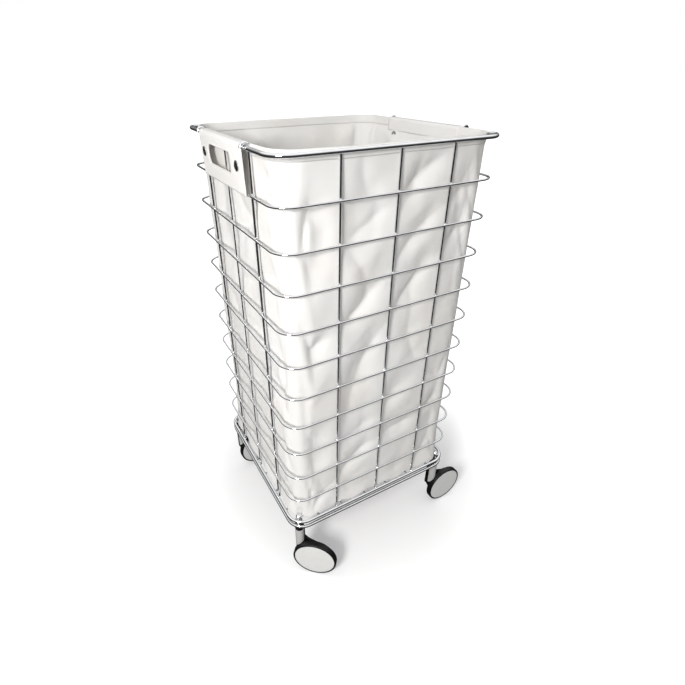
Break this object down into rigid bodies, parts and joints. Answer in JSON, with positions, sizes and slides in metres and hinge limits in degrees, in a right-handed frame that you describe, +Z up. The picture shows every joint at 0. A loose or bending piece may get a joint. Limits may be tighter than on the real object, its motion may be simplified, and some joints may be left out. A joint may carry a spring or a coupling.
{
  "type": "laundry cart",
  "caption": "Tall rectangular chrome wire basket on swivel casters, with a lift-out canvas liner whose side flaps fold over the rim and have hand holes.",
  "frame": {"origin": "centre of the footprint on the floor, z = 0 where the wheels touch; the basket's own centre line is at x = -27.18 mm because the front-right wheel is turned outwards at rest", "axes": "+Z up, -Y is the wide front face with three thin wires, -X and +X are the sides with the folded handle flaps"},
  "size_m": [0.4469, 0.46, 0.818],
  "materials": {
    "chrome_wire": "polished",
    "chrome_nut": "polished",
    "plain_steel": "satin",
    "satin_metal": "satin",
    "black_plastic": "semi-gloss",
    "black_tyre": "smooth",
    "canvas": "plain weave",
    "stud_metal": "satin"
  },
  "bodies": {
    "frame": {"top_rim": "chrome_wire", "ring_01": "chrome_wire", "ring_02": "chrome_wire", "ring_03": "chrome_wire", "ring_04": "chrome_wire", "ring_05": "chrome_wire", "ring_06": "chrome_wire", "ring_07": "chrome_wire", "ring_08": "chrome_wire", "ring_09": "chrome_wire", "ring_10": "chrome_wire", "base_rail_upper": "chrome_wire", "base_rail_lower": "chrome_wire", "post_left_front": "chrome_wire", "post_left_back": "chrome_wire", "post_right_front": "chrome_wire", "post_right_back": "chrome_wire", "wire_left": "chrome_wire", "wire_right": "chrome_wire", "wire_front_left": "chrome_wire", "wire_front_middle": "chrome_wire", "wire_front_right": "chrome_wire", "wire_back_left": "chrome_wire", "wire_back_middle": "chrome_wire", "wire_back_right": "chrome_wire", "floor_wires_long": "chrome_wire", "floor_wires_cross": "chrome_wire", "corner_sleeves": "chrome_wire", "acorn_nuts": "chrome_nut", "lock_collars": "black_plastic", "stem_front_left": "plain_steel", "stem_front_right": "plain_steel", "stem_back_left": "plain_steel", "stem_back_right": "plain_steel"},
    "swivel_front_left": {"caster_body_front_left": "black_plastic", "stem_cover_front_left": "satin_metal", "axle_front_left": "plain_steel"},
    "roller_front_left": {"wheel_front_left": "black_tyre", "wheel_cap_front_left": "satin_metal"},
    "swivel_front_right": {"caster_body_front_right": "black_plastic", "stem_cover_front_right": "satin_metal", "axle_front_right": "plain_steel"},
    "roller_front_right": {"wheel_front_right": "black_tyre", "wheel_cap_front_right": "satin_metal"},
    "swivel_back_left": {"caster_body_back_left": "black_plastic", "stem_cover_back_left": "satin_metal", "axle_back_left": "plain_steel"},
    "roller_back_left": {"wheel_back_left": "black_tyre", "wheel_cap_back_left": "satin_metal"},
    "swivel_back_right": {"caster_body_back_right": "black_plastic", "stem_cover_back_right": "satin_metal", "axle_back_right": "plain_steel"},
    "roller_back_right": {"wheel_back_right": "black_tyre", "wheel_cap_back_right": "satin_metal"},
    "liner": {"liner_bag": "canvas", "liner_flap_left": "canvas", "liner_flap_right": "canvas", "flap_studs": "stud_metal", "bag_studs": "stud_metal"}
  },
  "joints": [
    {"name": "turn_front_left", "type": "hinge", "parent": "frame", "child": "swivel_front_left", "pos_m": [-0.19959, -0.16741, 0.095], "axis": [0, 0, 1], "continuous": true},
    {"name": "roll_front_left", "type": "hinge", "parent": "swivel_front_left", "child": "roller_front_left", "pos_m": [-0.17506, -0.18949, 0.045], "axis": [0.6691, 0.7431, 0], "continuous": true},
    {"name": "turn_front_right", "type": "hinge", "parent": "frame", "child": "swivel_front_right", "pos_m": [0.14523, -0.16741, 0.095], "axis": [0, 0, 1], "continuous": true},
    {"name": "roll_front_right", "type": "hinge", "parent": "swivel_front_right", "child": "roller_front_right", "pos_m": [0.17822, -0.16683, 0.045], "axis": [-0.0175, 0.9998, 0], "continuous": true},
    {"name": "turn_back_left", "type": "hinge", "parent": "frame", "child": "swivel_back_left", "pos_m": [-0.19959, 0.16741, 0.095], "axis": [0, 0, 1], "continuous": true},
    {"name": "roll_back_left", "type": "hinge", "parent": "swivel_back_left", "child": "roller_back_left", "pos_m": [-0.16671, 0.17028, 0.045], "axis": [-0.0872, 0.9962, 0], "continuous": true},
    {"name": "turn_back_right", "type": "hinge", "parent": "frame", "child": "swivel_back_right", "pos_m": [0.14523, 0.16741, 0.095], "axis": [0, 0, 1], "continuous": true},
    {"name": "roll_back_right", "type": "hinge", "parent": "swivel_back_right", "child": "roller_back_right", "pos_m": [0.1207, 0.18949, 0.045], "axis": [-0.6691, -0.7431, 0], "continuous": true},
    {"name": "liner_lift", "type": "slide", "parent": "frame", "child": "liner", "axis": [0, 0, 1], "range_m": [0, 0.7]}
  ]
}
